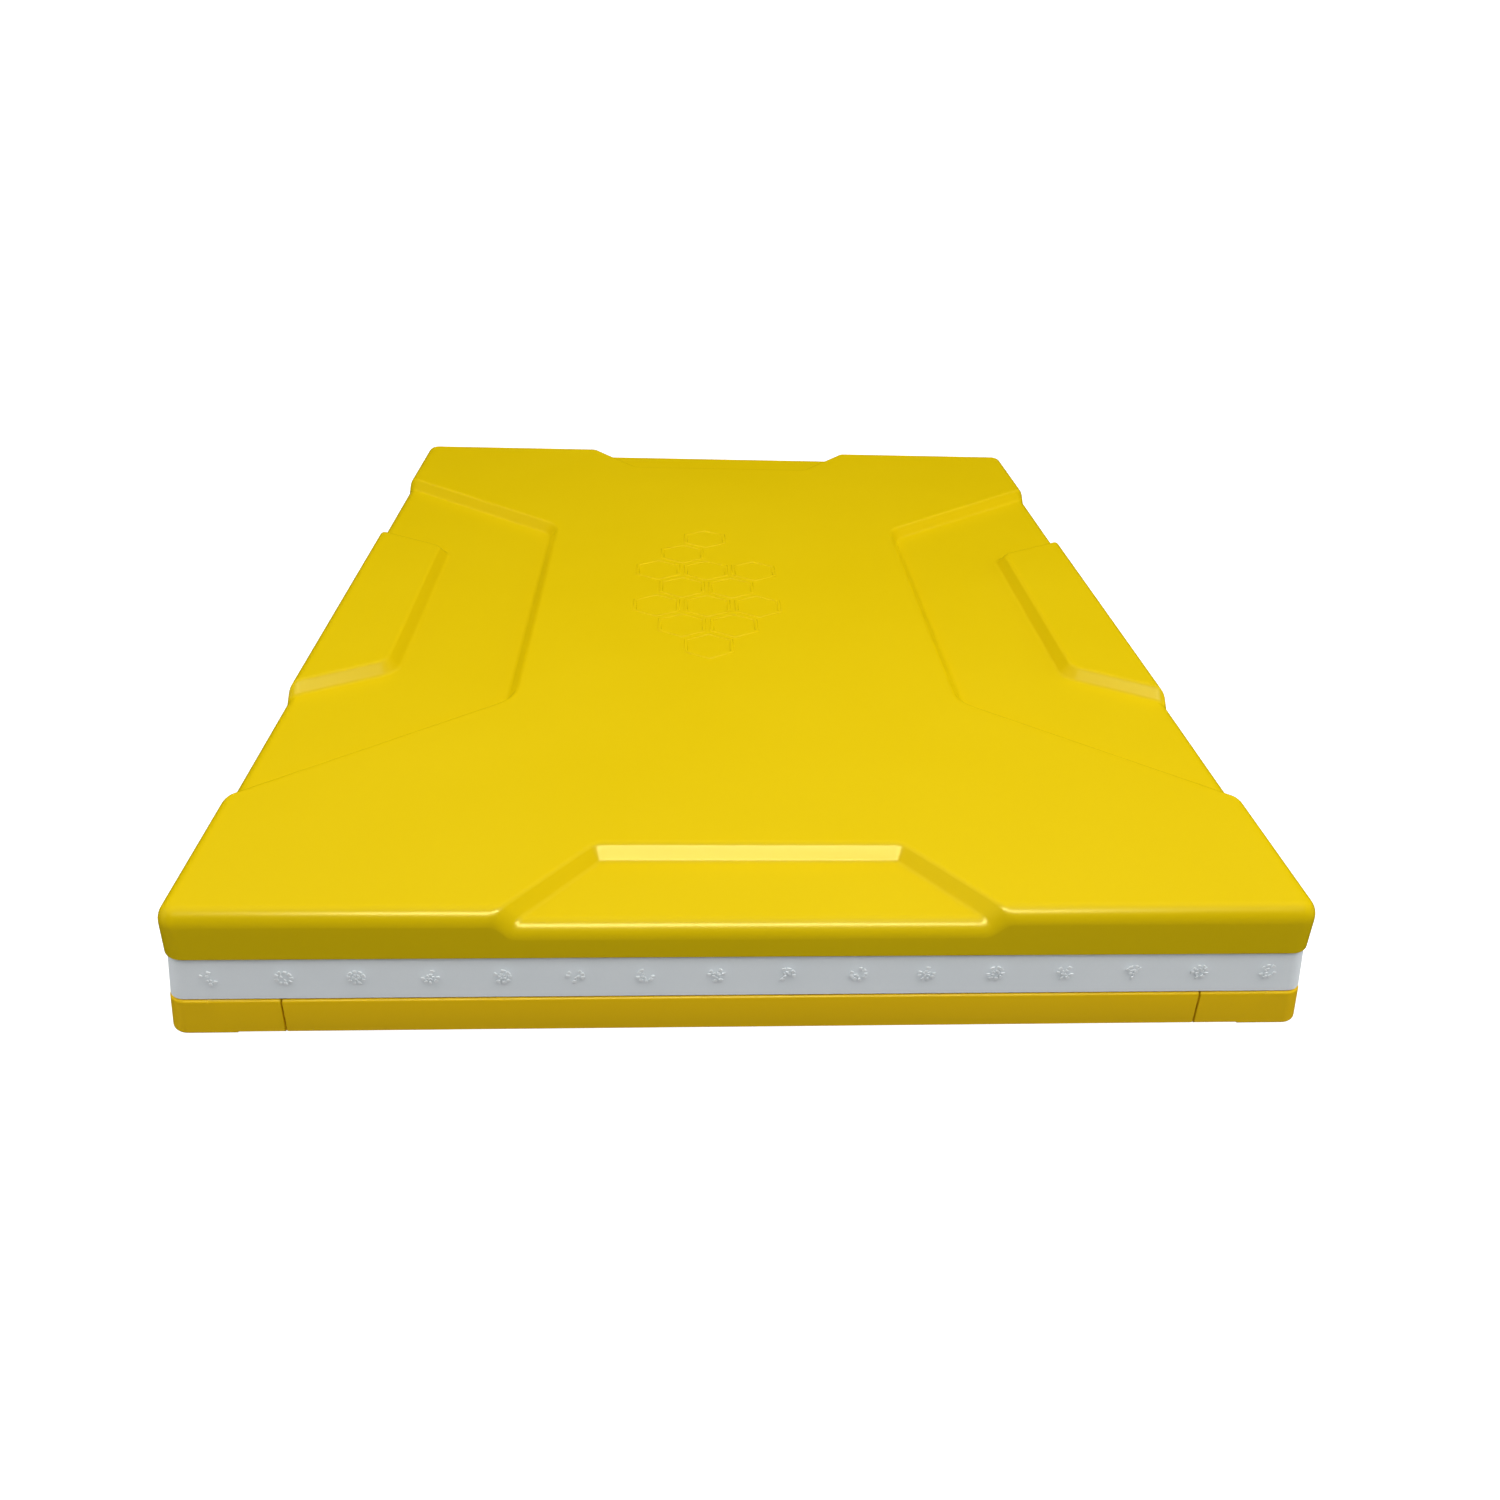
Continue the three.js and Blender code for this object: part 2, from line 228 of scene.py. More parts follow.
WALL_ANGLE = math.atan2(DEPTH, RUN)
TANGENT = FILLET * math.tan(WALL_ANGLE / 2)  # from a crest line to where its fillet starts


def ramp(inside):
    """Height of a sloping wall at a plan distance inside its crest line: 0 down to -DEPTH."""
    if inside <= -TANGENT:
        return 0
    if inside < TANGENT * math.cos(WALL_ANGLE):
        return -FILLET + math.sqrt(FILLET**2 - (inside + TANGENT) ** 2)
    if inside < RUN - TANGENT * math.cos(WALL_ANGLE):
        return -inside * math.tan(WALL_ANGLE)
    if inside < RUN + TANGENT:
        return -DEPTH + FILLET - math.sqrt(FILLET**2 - (RUN + TANGENT - inside) ** 2)
    return -DEPTH


def ramp_steps():
    """The plan distances inside the crest line at which a wall needs an edge loop."""
    bends = [FILLET * math.sin(WALL_ANGLE * k / FILLET_STEPS) for k in range(FILLET_STEPS + 1)]
    crest = [bend - TANGENT for bend in bends]
    foot = [RUN + TANGENT - bend for bend in bends]
    return [-TANGENT - SUPPORT, *crest, *foot, RUN + TANGENT + SUPPORT]


def motif_centres():
    """The middle of each cell of the honeycomb."""
    for row, columns in MOTIF_ROWS.items():
        for column in columns:
            yield MOTIF_CENTRE + MOTIF_PITCH * Vector((column, row * math.sin(math.pi / 3)))


def hexagon_distance(offset):
    """Distance of a point from a hexagon's middle, measured square to its nearest side."""
    directions = (Vector((math.cos(k * math.pi / 3), math.sin(k * math.pi / 3))) for k in range(3))
    return max(abs(direction.dot(offset)) for direction in directions)


def motif_height(point):
    """Height of the honeycomb's ridges over the plateau."""
    for centre in motif_centres():
        away = abs(hexagon_distance(point - centre) - MOTIF_APOTHEM)
        if away < MOTIF_RIDGE + MOTIF_SLOPE:
            return MOTIF_HEIGHT * min(1, (MOTIF_RIDGE + MOTIF_SLOPE - away) / MOTIF_SLOPE)
    return 0


def motif_loops():
    """Edge loops along the ridges: round each cell, at the foot and the top of both slopes."""
    widths = [-MOTIF_RIDGE - MOTIF_SLOPE, -MOTIF_RIDGE, MOTIF_RIDGE, MOTIF_RIDGE + MOTIF_SLOPE]
    loops = []
    for centre in motif_centres():
        for width in widths:
            radius = (MOTIF_APOTHEM + width) / math.cos(math.pi / 6)
            corners = [(k + 0.5) * math.pi / 3 for k in range(6)]
            loops.append([centre + radius * Vector((math.cos(a), math.sin(a))) for a in corners])
    return loops


def relief_height(point, grow):
    """Height of the channels at a point, with their walls standing `grow` further out."""
    folded = Vector((abs(point.x), abs(point.y)))
    swapped = Vector((folded.y, folded.x))
    channel = ramp(grow - CHANNEL_REGION.distance(folded))
    pad = DEPTH + ramp(PAD_REGION.distance(folded) + grow)
    notch = ramp(grow - NOTCH_REGION.distance(swapped))
    return channel + pad + notch


def relief_loops(grow):
    """Edge loops along every wall of the channels."""
    right = [CHANNEL_REGION.contour(grow - step) for step in ramp_steps()]
    right += [PAD_REGION.contour(step - grow) for step in ramp_steps()]
    notch = [NOTCH_REGION.contour(grow - step) for step in ramp_steps()]
    back = [[Vector((p.y, p.x)) for p in loop] for loop in notch]
    return [[flip * p for p in loop] for loop in right + back for flip in (1, -1)]


# ---------------------------------------------------------------- mesh building

def add_object(name, mesh, slot, body, *replaced, sharp=40):
    """
    Puts a finished mesh in the scene as a piece that rides on a body. Edges that turn by more than
    `sharp` degrees are shaded as sharp.
    """
    mesh.shade_smooth()
    mesh.set_sharp_from_angle(angle=math.radians(sharp))
    made = bpy.data.objects.new(name, mesh)
    bpy.context.scene.collection.objects.link(made)
    made.data.materials.append(MATERIALS[slot])
    weighted = made.modifiers.new("weighted_normals", "WEIGHTED_NORMAL")
    weighted.keep_sharp = True
    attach(made, body)
    if replaced:
        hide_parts(*replaced)
    return made


def finished(bm, name):
    """A bmesh as a mesh, with its faces pointing out."""
    bmesh.ops.remove_doubles(bm, verts=bm.verts, dist=SAME)
    bmesh.ops.recalc_face_normals(bm, faces=bm.faces)
    mesh = bpy.data.meshes.new(name)
    bm.to_mesh(mesh)
    bm.free()
    return mesh


def sheet(bm, outline, loops, place):
    """
    Adds a triangulated sheet over a region, with edges along the given closed loops. `place` gives
    the position of a plan point. Returns the sheet's border as pairs of vertices.
    """
    points = []
    edges = []
    for loop in [outline.contour(0), *loops]:
        first = len(points)
        points += loop
        edges += [(first + i, first + (i + 1) % len(loop)) for i in range(len(loop))]
    plan, _, triangles, *_ = delaunay_2d_cdt(points, edges, [], 0, SAME)
    verts = {}

    def vertex(index):
        if index not in verts:
            verts[index] = bm.verts.new(place(plan[index]))
        return verts[index]

    faces = []
    for triangle in triangles:
        middle = sum((plan[i] for i in triangle), Vector((0, 0))) / len(triangle)
        if outline.distance(middle) < 0:
            faces.append(bm.faces.new([vertex(i) for i in triangle]))
    return [tuple(edge.verts) for face in faces for edge in face.edges if edge.is_boundary]


def skirt(bm, border, profile):
    """
    Hangs a wall from a sheet's border. `profile` gives the positions below a border vertex. Returns
    the edges along the wall's foot.
    """
    columns = {}
    for pair in border:
        for vert in pair:
            if vert not in columns:
                columns[vert] = [vert] + [bm.verts.new(p) for p in profile(vert.co)]
    feet = []
    for a, b in border:
        for k in range(len(columns[a]) - 1):
            bm.faces.new([columns[a][k], columns[b][k], columns[b][k + 1], columns[a][k + 1]])
        feet.append(bm.edges.get((columns[a][-1], columns[b][-1])))
    return feet


def loft(bm, rings):
    """A closed body from rings of vertices with equal counts, with flat ends."""
    made = [[bm.verts.new(p) for p in ring] for ring in rings]
    for lower, upper in zip(made, made[1:]):
        for (a, b), (c, d) in zip(sides(lower), sides(upper)):
            bm.faces.new([a, b, d, c])
    bm.faces.new(made[0])
    bm.faces.new(made[-1])


# ---------------------------------------------------------------- cover

def leaning(point, z, share=1):
    """A place on the cover's side, which leans out on its way down."""
    out = LEAN * (COVER_TOP - z) * share
    moved = point + out * OUTLINE.outward(point) if share else point
    return Vector((moved.x, moved.y, z))


def edge_drop(inside, run, fall):
    """How far the rounded top edge lies below the plateau, at a plan distance inside it."""
    across = max(0, min(1, 1 - inside / run))
    return fall * (1 - math.sqrt(1 - across**2))


def cover_sheet(bm, inset, run, fall, grow, loops, extra_height):
    """One face of the cover's top, `inset` below and inside its outer surface."""
    outline = rectangle(COVER_HALF.x - inset, COVER_HALF.y - inset, COVER_CORNER - inset)
    bends = [run * (1 - math.sin(QUARTER * k / EDGE_STEPS)) for k in range(EDGE_STEPS)]
    rings = [outline.contour(-distance) for distance in [run + SUPPORT, *bends]]

    def place(point):
        inside = -outline.distance(point)
        drop = edge_drop(inside, run, fall)
        z = COVER_TOP - inset + relief_height(point, grow) + extra_height(point) - drop
        return leaning(point, z, max(0, min(1, 1 - inside / run)))

    return sheet(bm, outline, rings + relief_loops(grow) + loops, place)


def upright(top):
    """The plan point that a place on the cover's side leans out from."""
    return top.xy - LEAN * (COVER_TOP - top.z) * OUTLINE.outward(top.xy)


def outer_wall(top):
    """The cover's side below its rounded edge, down to the rim and round it."""
    plan = upright(top)
    points = []
    for k in range(ARRIS_STEPS + 1):
        angle = QUARTER * k / ARRIS_STEPS
        z = COVER_RIM + RIM_ROUND * (1 - math.sin(angle))
        inward = RIM_ROUND * (1 - math.cos(angle))
        points.append(leaning(plan - inward * OUTLINE.outward(plan), z))
    return points


def inner_wall(top):
    """The inside of the cover's side, straight down to the rim."""
    return [leaning(upright(top), COVER_RIM)]


def build_cover():
    """The cover as one closed shell: its outer and inner faces, joined round the rim."""
    bm = bmesh.new()
    outer = cover_sheet(bm, 0, EDGE_RUN, EDGE_FALL, 0, motif_loops(), motif_height)
    feet = skirt(bm, outer, outer_wall)
    inner_run = EDGE_RUN - WALL / 2
    inner_fall = EDGE_FALL - WALL
    inner = cover_sheet(bm, WALL, inner_run, inner_fall, WALL / 2, [], lambda point: 0)
    feet += skirt(bm, inner, inner_wall)
    bmesh.ops.triangle_fill(bm, use_beauty=True, edges=feet)
    add_object("cover", finished(bm, "cover"), "cover_plastic", "cover", "cover_shell")


def rib_strip(bm, start, end):
    """A rib between two plan points, its foot level and its root inside the cover's wall."""
    along = (end - start).normalized()
    across = RIB_HALF * Vector((-along.y, along.x))
    steps = math.ceil((end - start).length / RIB_STEP)
    rings = []
    for k in range(steps + 1):
        point = start.lerp(end, k / steps)
        drop = edge_drop(-OUTLINE.distance(point), EDGE_RUN, EDGE_FALL)
        root = COVER_TOP - WALL / 2 + relief_height(point, WALL / 2) - drop
        left = point + across
        right = point - across
        ring = [(left, RIB_FOOT), (right, RIB_FOOT), (right, root), (left, root)]
        rings.append([Vector((p.x, p.y, z)) for p, z in ring])
    loft(bm, rings)


def build_ribs():
    """The grid of ribs under the plateau, from wall to wall."""
    bm = bmesh.new()
    reach = COVER_HALF - Vector((WALL, WALL))
    for y in RIBS_Y:
        rib_strip(bm, Vector((-reach.x, y)), Vector((reach.x, y)))
    for x in RIBS_X:
        rib_strip(bm, Vector((x, -reach.y)), Vector((x, reach.y)))
    add_object("cover_ribs", finished(bm, "cover_ribs"), "cover_plastic", "cover")


# ---------------------------------------------------------------- insulation

FOAM_ROUND = 0.7 * MM
FOAM_CORNER = 8 * MM
BAND_DRAFT = 2.3 * MM  # how far the band that shows leans out down to its foot
PLUG_INSET = 9.1 * MM  # inside the band's foot
STEP_INSET = 19.2 * MM
BAND_FOOT = RAIL_TOP + GAP
BAND_TOP = COVER_RIM - GAP

VENT_PITCH = 30.4 * MM
VENT_COUNT = {"x": 16, "y": 20}  # on a side along X, and along Y
VENT_Z = (BAND_FOOT + BAND_TOP) / 2 + 1.5 * MM  # a little above the band's middle
VENT_RINGS = [(2.5 * MM, 3.9 * MM, 9), (0.7 * MM, 1.8 * MM, 5)]  # radii, and how many slots
VENT_ROOT = 0.3 * MM  # how deep a mark is rooted in the band
VENT_UPRIGHT = 0.6  # share of a mark's height below its sloping edge
VENT_SLOPE = 0.25 * MM
VENT_STEPS = 3  # facets along a mark
VENT_SHARE = 0.75  # of a vent's slots that left a mark
VENT_SHIFT = 0.4  # mm that a vent may stand beside its place in the row
VENT_STRENGTH = (0.3, 0.8)
VENT_HEIGHT = (0.08, 0.3)  # mm, of a mark at full strength
VENT_TURN = (0.4, 0.75)  # share of its slot's turn that a mark fills
VENT_SKEW = 0.2  # share of its slot's turn by which a mark may start late


def rounded_steps(inset, z, up):
    """
    Profile points of a rounded arris, from the level face at `z` to the upright one at `inset`,
    which stands above it if `up` is 1 and below it if `up` is -1.
    """
    points = []
    for k in range(ARRIS_STEPS + 1):
        angle = QUARTER * k / ARRIS_STEPS
        across = FOAM_ROUND * (1 - math.sin(angle))
        rise = up * FOAM_ROUND * (1 - math.cos(angle))
        points.append((inset + across, z + rise))
    return points


def build_insulation():
    """The block in one piece: its step inside the frame, its band, its plug in the cover."""
    lower = rounded_steps(STEP_INSET, FOAM_LOW.z, 1)
    band_lower = rounded_steps(0, BAND_FOOT, 1)
    band_upper = rounded_steps(BAND_DRAFT, BAND_TOP, -1)[::-1]
    upper = rounded_steps(PLUG_INSET, FOAM_HIGH.z, -1)[::-1]
    profile = [
        *lower,
        (STEP_INSET, BAND_FOOT),
        *band_lower,
        *band_upper,
        (PLUG_INSET, BAND_TOP),
        *upper,
    ]
    bm = bmesh.new()
    rings = []
    for inset, z in profile:
        outline = rectangle(FOAM_HIGH.x - inset, FOAM_HIGH.y - inset, FOAM_CORNER)
        rings.append([Vector((p.x, p.y, z)) for p in outline.contour(0)])
    loft(bm, rings)
    add_object("insulation", finished(bm, "insulation"), "foam", "insulation", "insulation_block")


def vent_slot(bm, place, inner, outer, start, turn, height):
    """A low mark with sloping sides, on a face that `place` maps (u, v, outwards) onto."""
    rings = []
    for level, shrink in [(-VENT_ROOT, 0), (height * VENT_UPRIGHT, 0), (height, VENT_SLOPE)]:
        near = inner + shrink
        far = outer - shrink
        margin = shrink / outer
        reach = turn - 2 * margin
        angles = [start + margin + reach * k / VENT_STEPS for k in range(VENT_STEPS + 1)]
        ring = [(near, a) for a in angles] + [(far, a) for a in reversed(angles)]
        rings.append([place(r * math.cos(a), r * math.sin(a), level) for r, a in ring])
    loft(bm, rings)


def vent_rows(count):
    """How far each vent of a side stands from the side's middle."""
    return [(i - (count - 1) / 2) * VENT_PITCH for i in range(count)]


def vent_places():
    """Each vent's middle, with the directions along the side that it is on and out of it."""
    for side in (-1, 1):
        for x in vent_rows(VENT_COUNT["x"]):
            middle = Vector((x, side * FOAM_HIGH.y, VENT_Z))
            yield middle, Vector((-side, 0, 0)), Vector((0, side, 0))
        for y in vent_rows(VENT_COUNT["y"]):
            middle = Vector((side * FOAM_HIGH.x, y, VENT_Z))
            yield middle, Vector((0, side, 0)), Vector((side, 0, 0))


def build_vents():
    """Faint marks that the mould's steam vents leave round the band. Their relief is real; their
    lighter foam is painted highlight.
    """
    chance = random.Random(4)
    bm = bmesh.new()
    for centre, along, out in vent_places():
        centre = centre + along * chance.uniform(-VENT_SHIFT, VENT_SHIFT) * MM
        strength = chance.uniform(*VENT_STRENGTH)

        def place(u, v, w, centre=centre, along=along, out=out):
            return centre + along * u + Vector((0, 0, v)) + out * w

        turned = chance.uniform(0, math.tau)
        for inner, outer, count in VENT_RINGS:
            for k in range(count):
                if chance.random() < VENT_SHARE:
                    start = turned + math.tau * (k + chance.uniform(0, VENT_SKEW)) / count
                    turn = math.tau / count * chance.uniform(*VENT_TURN)
                    height = strength * chance.uniform(*VENT_HEIGHT) * MM
                    vent_slot(bm, place, inner, outer, start, turn, height)
    name = "insulation_vent_marks"
    marks = add_object(name, finished(bm, name), "foam", "insulation")
    # the marks take the lighter foam, which is painted highlight
    marks.data.materials[0] = FOAM_MARKS_PAINTED_HIGHLIGHT


# ---------------------------------------------------------------- screws

SCREW_SIDES = 32
SCREW_SECTIONS = [(1, 0.4 * MM), (0.42, 2.5 * MM), (0.4, 10 * MM)]  # share of the radius, height
SCREW_TIP = 0.02  # share of the radius
RECESS_ARM = 0.5 * MM  # half the width of an arm of the cross
RECESS_REACH = 2.1 * MM
RECESS_DEPTH = 1.2 * MM
RECESS_TAPER = (0.7, 0.75)  # of the arm and the reach, at the recess's floor


def plus_shape(arm, reach):
    """The outline of a cross, anticlockwise."""
    quarter = [Vector((reach, -arm)), Vector((reach, arm)), Vector((arm, arm))]
    return [Matrix.Rotation(QUARTER * k, 2) @ p for k in range(4) for p in quarter]


def in_plus(point, arm, reach):
    """Whether a point is within a cross, or on its outline but for rounding."""
    x, y = sorted((abs(point.x), abs(point.y)))
    return x <= arm * 1.001 and y <= reach * 1.001


def build_screw(name):
    """A countersunk screw seen from below, with a cross recess in its head."""
    low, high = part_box(name)
    middle = (low + high) / 2
    radius = (high.x - low.x) / 2
    turns = [math.tau * k / SCREW_SIDES for k in range(SCREW_SIDES)]
    head = Region([radius * Vector((math.cos(turn), math.sin(turn))) for turn in turns], 0)
    floor_arm = RECESS_ARM * RECESS_TAPER[0]
    floor_reach = RECESS_REACH * RECESS_TAPER[1]
    bm = bmesh.new()

    def place(point):
        depth = RECESS_DEPTH if in_plus(point, floor_arm, floor_reach) else 0
        return Vector((middle.x + point.x, middle.y + point.y, low.z + depth))

    loops = [plus_shape(RECESS_ARM, RECESS_REACH), plus_shape(floor_arm, floor_reach)]
    border = sheet(bm, head, loops, place)
    profile = [*SCREW_SECTIONS, (SCREW_TIP, high.z - low.z)]

    def column(vert):
        x = vert.x - middle.x
        y = vert.y - middle.y
        return [Vector((middle.x + x * r, middle.y + y * r, low.z + z)) for r, z in profile]

    feet = skirt(bm, border, column)
    bmesh.ops.edgeloop_fill(bm, edges=feet)
    add_object(name + "_visual", finished(bm, name), "screw_steel", "frame", name)


# ---------------------------------------------------------------- materials

def node(tree, kind, inputs=None, **properties):
    """Adds a node; an input that is another node's output is linked."""
    made = tree.nodes.new(kind)
    for key, value in properties.items():
        setattr(made, key, value)
    for key, value in (inputs or {}).items():
        if isinstance(value, bpy.types.NodeSocket):
            tree.links.new(value, made.inputs[key])
        else:
            made.inputs[key].default_value = value
    return made


def noise(tree, place, scale, detail=2.0, stretch=(1, 1, 1)):
    """Noise of a size, as a value from 0 to 1."""
    mapping = node(tree, "ShaderNodeMapping", {"Vector": place, "Scale": stretch})
    inputs = {"Vector": mapping.outputs[0], "Scale": scale, "Detail": detail}
    return node(tree, "ShaderNodeTexNoise", inputs).outputs["Fac"]


def between(tree, value, low, high, start=0.0, end=1.0):
    """A value's range start to end spread over low to high."""
    made = node(
        tree,
        "ShaderNodeMapRange",
        {"Value": value, "From Min": start, "From Max": end, "To Min": low, "To Max": high},
    )
    return made.outputs["Result"]


def mixed(tree, share, first, second):
    """Two colours mixed by a value."""
    made = node(tree, "ShaderNodeMix", data_type="RGBA")
    tree.links.new(share, made.inputs["Factor"])
    for socket, colour in ((6, first), (7, second)):
        if isinstance(colour, bpy.types.NodeSocket):
            tree.links.new(colour, made.inputs[socket])
        else:
            made.inputs[socket].default_value = (*colour, 1)
    return made.outputs[2]


def bumped(tree, layers):
    """Bump nodes in a chain, each given as (height, strength, distance)."""
    normal = None
    for height, strength, distance in layers:
        inputs = {"Height": height, "Strength": strength, "Distance": distance}
        if normal is not None:
            inputs["Normal"] = normal
        normal = node(tree, "ShaderNodeBump", inputs).outputs["Normal"]
    return normal


def new_material(name, settings):
    """A material with its tree, its shader and the place on the object, in metres."""
    made = bpy.data.materials.new(name)
    made.use_nodes = True
    shader = made.node_tree.nodes["Principled BSDF"]
    for key, value in settings.items():
        shader.inputs[key].default_value = value
    place = node(made.node_tree, "ShaderNodeTexCoord").outputs["Object"]
    return made, made.node_tree, shader, place


def set_inputs(tree, shader, inputs):
    """Links nodes' outputs to a shader's inputs."""
    for key, value in inputs.items():
        tree.links.new(value, shader.inputs[key])


def moulded_plastic(name, dark, light, gloss):
    """Satin moulded plastic: slightly wavy and finely grained. `gloss` is its lowest roughness."""
    made, tree, shader, place = new_material(name, {"IOR": 1.49, "Specular Tint": PLASTIC_SHEEN})
    wave = noise(tree, place, 11, 1)
    grain = noise(tree, place, 900, 2)
    patch = noise(tree, place, 9, 2)
    set_inputs(tree, shader, {
        "Base Color": mixed(tree, patch, dark, light),
        "Roughness": between(tree, patch, gloss, gloss + 0.08),
        "Normal": bumped(tree, [(wave, 0.1, 2 * MM), (grain, 0.03, 0.1 * MM)]),
    })
    return made


def foam_material(name, dark, light):
    """Expanded polystyrene: a matt skin in which the pressed beads just show."""
    made, tree, shader, place = new_material(name, {"IOR": 1.3, "Specular IOR Level": 0.25})
    beads = node(
        tree,
        "ShaderNodeTexVoronoi",
        {"Vector": place, "Scale": 260.0},
        feature="DISTANCE_TO_EDGE",
    ).outputs["Distance"]
    seam = between(tree, beads, 0, 1, 0, 0.1)
    tone = noise(tree, place, 24, 3)
    grain = noise(tree, place, 1200, 2)
    faint = between(tree, seam, 0.75, 1)
    share = node(tree, "ShaderNodeMath", {0: faint, 1: tone}, operation="MULTIPLY").outputs[0]
    set_inputs(tree, shader, {
        "Base Color": mixed(tree, share, dark, light),
        "Roughness": between(tree, tone, 0.7, 0.9),
        "Normal": bumped(tree, [(seam, 0.06, 0.1 * MM), (grain, 0.06, 0.1 * MM)]),
    })
    return made


def board_material():
    """Extruded sheet: off-white, with a fine lengthwise grain."""
    made, tree, shader, place = new_material("board_plastic", {"IOR": 1.5})
    grain = noise(tree, place, 400, 3, (1, 0.05, 1))
    patch = noise(tree, place, 18, 3)
    set_inputs(tree, shader, {
        "Base Color": mixed(tree, patch, (0.7, 0.69, 0.63), (0.79, 0.78, 0.73)),
        "Roughness": between(tree, grain, 0.4, 0.6),
        "Normal": bumped(tree, [(grain, 0.2, 0.1 * MM)]),
    })
    return made


def steel_material():
    """Turned steel, with fine rings round the screw."""
    made, tree, shader, place = new_material("screw_steel", {"Metallic": 1.0})
    turned = noise(tree, place, 900, 3, (1, 1, 6))
    set_inputs(tree, shader, {
        "Base Color": mixed(tree, turned, (0.42, 0.42, 0.43), (0.62, 0.62, 0.62)),
        "Roughness": between(tree, turned, 0.22, 0.42),
        "Normal": bumped(tree, [(turned, 0.15, 0.05 * MM)]),
    })
    return made


PLASTIC_SHEEN = (1, 1, 0.45, 1)  # the tint of yellow plastic's highlights

MATERIALS = {
    "cover_plastic": moulded_plastic("cover_plastic", (0.71, 0.5, 0.0), (0.75, 0.534, 0.0), 0.21),
    "frame_plastic": moulded_plastic("frame_plastic", (0.85, 0.53, 0.0), (0.89, 0.56, 0.0), 0.33),
    "foam": foam_material("foam", (0.79, 0.84, 0.87), (0.85, 0.89, 0.91)),
    "board_plastic": board_material(),
    "screw_steel": steel_material(),
}
# the vent marks' foam, lighter than the band's: painted highlight on the raised marks
FOAM_MARKS_PAINTED_HIGHLIGHT = foam_material("foam_marks_painted_highlight", (0.86, 0.9, 0.92), (0.96, 0.98, 0.99))


# ---------------------------------------------------------------- frame and board

PACKED_SAME = 1e-6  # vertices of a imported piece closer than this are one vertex
FLAT_ANGLE = math.radians(1)
SQUARE_ANGLE = math.radians(60)
EASING = 0.3 * MM


def refine(name, slot, body, merge_faces=True):
    """
    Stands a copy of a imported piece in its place, with its square outer edges eased. The triangles
    of its flat faces are merged first, unless the beads on such a face leave holes in it.
    """
    bm = bmesh.new()
    bm.from_mesh(frame["nodes"][name].data)
    bmesh.ops.remove_doubles(bm, verts=bm.verts, dist=PACKED_SAME)
    if merge_faces:
        bmesh.ops.dissolve_limit(bm, angle_limit=FLAT_ANGLE, verts=bm.verts, edges=bm.edges)
    square = [edge for edge in bm.edges if edge.calc_face_angle_signed(0) > SQUARE_ANGLE]
    bmesh.ops.bevel(bm, geom=square, offset=EASING, segments=2, affect="EDGES", clamp_overlap=False)
    add_object(name + "_eased", finished(bm, name), slot, body, name, sharp=50)


def build_frame():
    """The frame's rails, corners and screws, and the ceiling board."""
    for item in frame["record"]["subparts"]:
        if item["material_slot"] == "frame_plastic":
            refine(item["node"], "frame_plastic", "frame")
        if item["material_slot"] == "screw_steel":
            build_screw(item["node"])
    refine("ceiling_board", "board_plastic", "board", merge_faces=False)


# ---------------------------------------------------------------- studio

CAMERA = {
    "at": (-0.0308, -0.6724, 0.376),
    "yaw": -4.025,  # degrees, as the next two
    "below_level": 32.334,
    "roll": 2.411,
    "lens": 27.6,  # mm
    "sensor": 36,  # mm wide
}
SKY = 0.16  # strength of the surround above the horizon
GROUND = 0.3  # and below it
HORIZON = 0.1  # half the height of the band in which the two blend, as a sine
FLOOR = {"flat": 4, "bend": 2, "height": 5, "steps": 12, "segments": 96}


def build_camera():
    """The camera, in front of the object and looking down at it."""
    data = bpy.data.cameras.new("camera")
    data.sensor_width = CAMERA["sensor"]
    data.lens = CAMERA["lens"]
    data.clip_start = 0.01
    data.clip_end = 50
    camera = bpy.data.objects.new("camera", data)
    bpy.context.scene.collection.objects.link(camera)
    yaw = Matrix.Rotation(math.radians(CAMERA["yaw"]), 4, "Z")
    pitch = Matrix.Rotation(math.radians(90 - CAMERA["below_level"]), 4, "X")
    roll = Matrix.Rotation(math.radians(CAMERA["roll"]), 4, "Z")
    camera.matrix_world = Matrix.Translation(CAMERA["at"]) @ yaw @ pitch @ roll
    bpy.context.scene.camera = camera


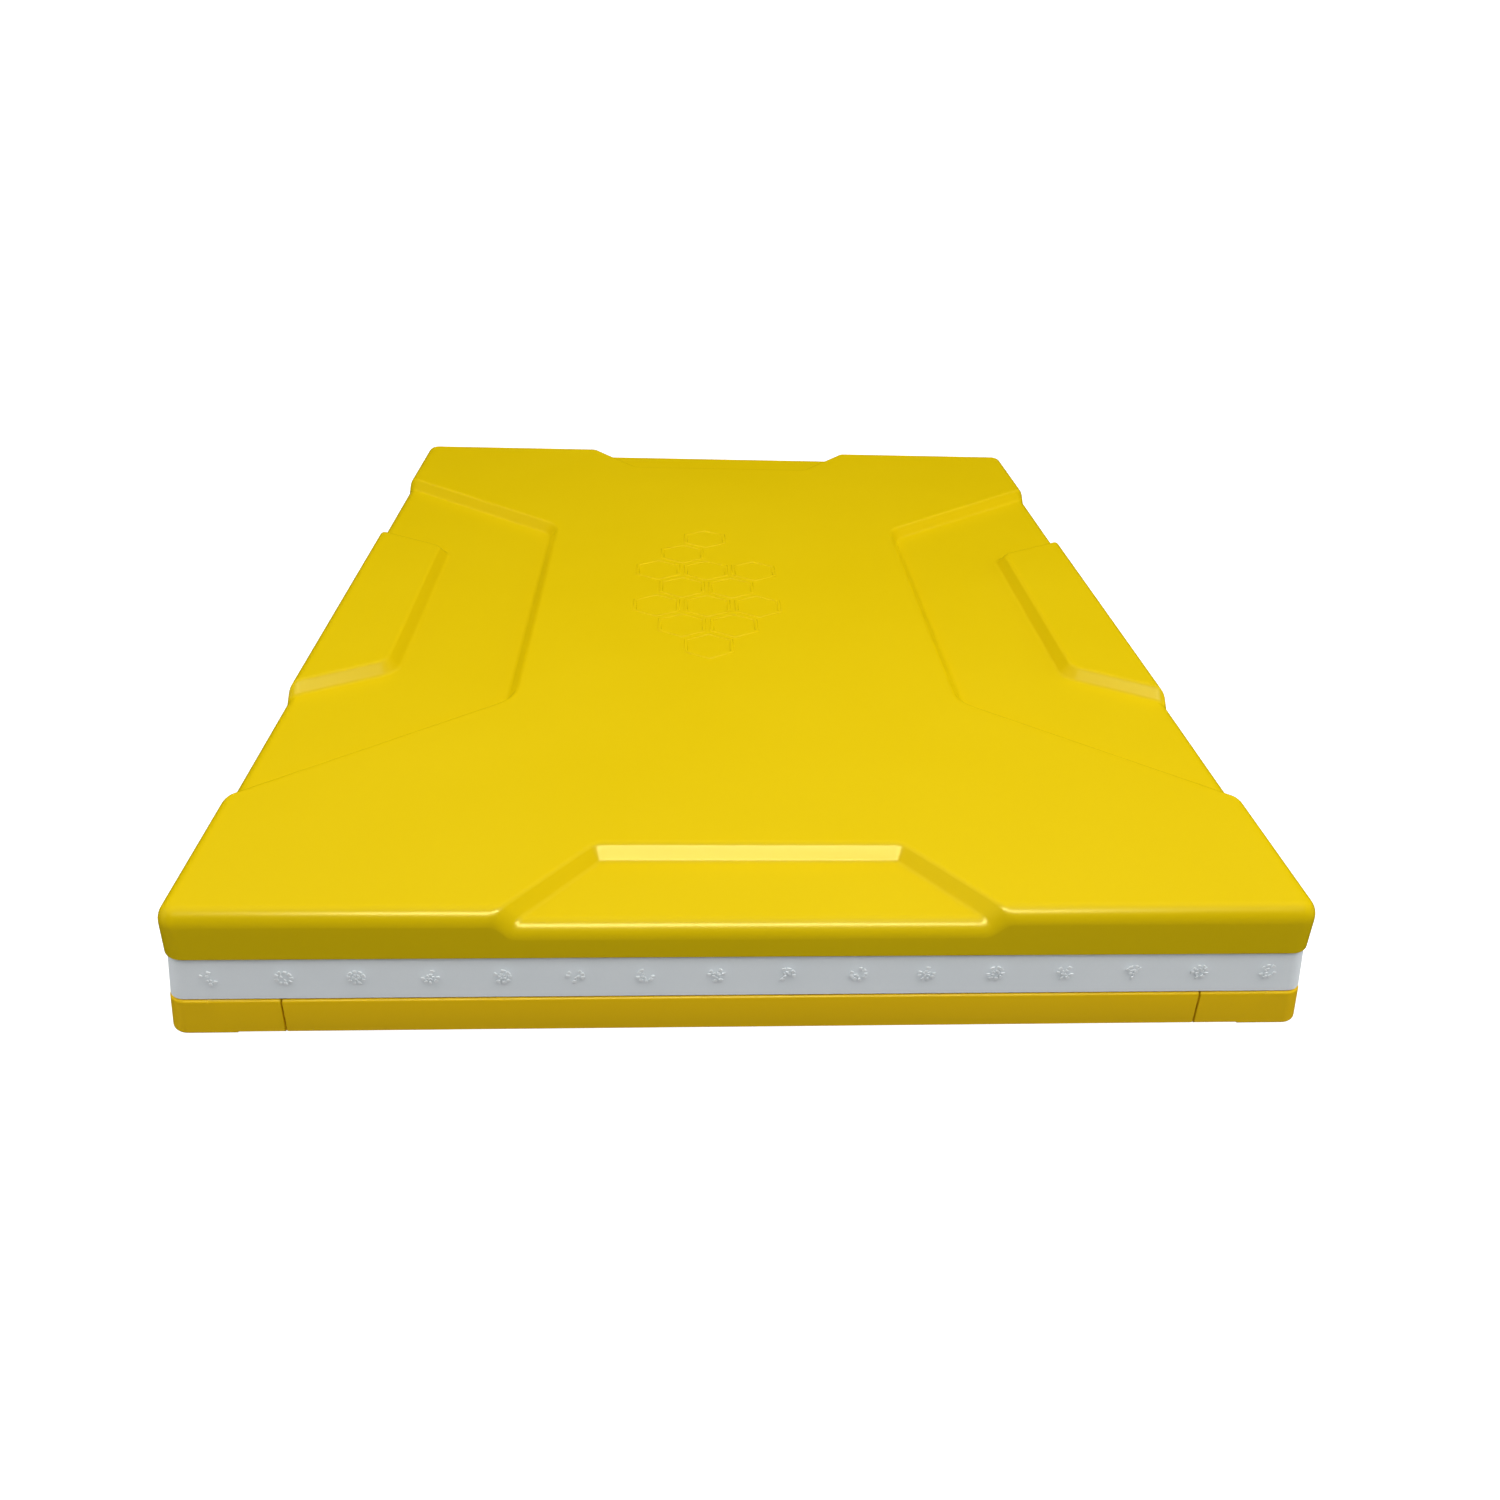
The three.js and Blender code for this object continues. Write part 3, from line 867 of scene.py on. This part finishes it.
def build_floor():
    """A pale floor that curves up into a backdrop all round. It throws no light back."""
    flat = FLOOR["flat"]
    bend = FLOOR["bend"]
    support = 0.95 * flat  # a ring before the bend, which keeps the flat floor's shading clean
    profile = [(support, 0), (flat, 0)]
    for k in range(1, FLOOR["steps"] + 1):
        angle = QUARTER * k / FLOOR["steps"]
        profile.append((flat + bend * math.sin(angle), bend * (1 - math.cos(angle))))
    profile.append((flat + bend, FLOOR["height"]))
    turns = [math.tau * k / FLOOR["segments"] for k in range(FLOOR["segments"])]
    bm = bmesh.new()
    rings = [
        [bm.verts.new((radius * math.cos(turn), radius * math.sin(turn), z)) for turn in turns]
        for radius, z in profile
    ]
    bm.faces.new(rings[0])
    for low, high in zip(rings, rings[1:]):
        for k in range(len(turns)):
            bm.faces.new((low[k], low[k - 1], high[k - 1], high[k]))
    mesh = bpy.data.meshes.new("floor")
    bm.to_mesh(mesh)
    bm.free()
    mesh.shade_smooth()
    floor = bpy.data.objects.new("floor", mesh)
    bpy.context.scene.collection.objects.link(floor)
    settings = {
        "Roughness": 1.0,
        "Specular IOR Level": 0.0,
        "Emission Color": (1, 1, 1, 1),
        "Emission Strength": 1.0,
    }
    made, tree, shader, place = new_material("floor", settings)
    paper = mixed(tree, noise(tree, place, 3), (0.33, 0.33, 0.33), (0.36, 0.36, 0.36))
    set_inputs(tree, shader, {"Base Color": paper})
    floor.data.materials.append(made)
    floor.visible_diffuse = False
    floor.visible_glossy = False
    floor.visible_shadow = False


def softbox(name, at, target, width, height, watts):
    """A rectangular lamp that faces a target."""
    data = bpy.data.lights.new(name, "AREA")
    data.shape = "RECTANGLE"
    data.size = width
    data.size_y = height
    data.energy = watts
    light = bpy.data.objects.new(name, data)
    bpy.context.scene.collection.objects.link(light)
    light.location = at
    light.rotation_euler = (Vector(target) - Vector(at)).to_track_quat("-Z", "Y").to_euler()
    return light


def build_lights():
    """Soft light from above, in front and the sides, and a strip that makes the highlights."""
    soft = [
        softbox("ceiling", (0, 0, 2.2), (0, 0, 0), 5, 5, 95),
        softbox("key", (0.25, -0.75, 1.25), (0, -0.1, 0), 0.9, 0.9, 5.5),
        softbox("right_side", (1.7, -0.2, 0.45), (0, 0, 0), 1, 1, 7.5),
        softbox("left_side", (-1.7, -0.2, 0.45), (0, 0, 0), 1, 1, 5.5),
    ]
    for light in soft:
        light.visible_glossy = False
    strip = softbox("front_strip", (0, -1.25, 1.3), (0, -0.2, 0.05), 1.3, 0.45, 25)
    strip.visible_diffuse = False


def build_world():
    """A weak even surround, a little lighter below the horizon."""
    world = bpy.data.worlds.new("world")
    bpy.context.scene.world = world
    world.use_nodes = True
    world.cycles_visibility.glossy = False
    tree = world.node_tree
    direction = node(tree, "ShaderNodeTexCoord").outputs["Generated"]
    height = node(tree, "ShaderNodeSeparateXYZ", {"Vector": direction}).outputs["Z"]
    strength = between(tree, height, GROUND, SKY, -HORIZON, HORIZON)
    tree.links.new(strength, tree.nodes["Background"].inputs["Strength"])
    tree.nodes["Background"].inputs["Color"].default_value = (1, 1, 1, 1)
    bpy.context.scene.view_settings.view_transform = "Standard"


# ---------------------------------------------------------------- scene

build_camera()
build_floor()
build_lights()
build_world()
build_cover()
build_ribs()
build_insulation()
build_vents()
build_frame()
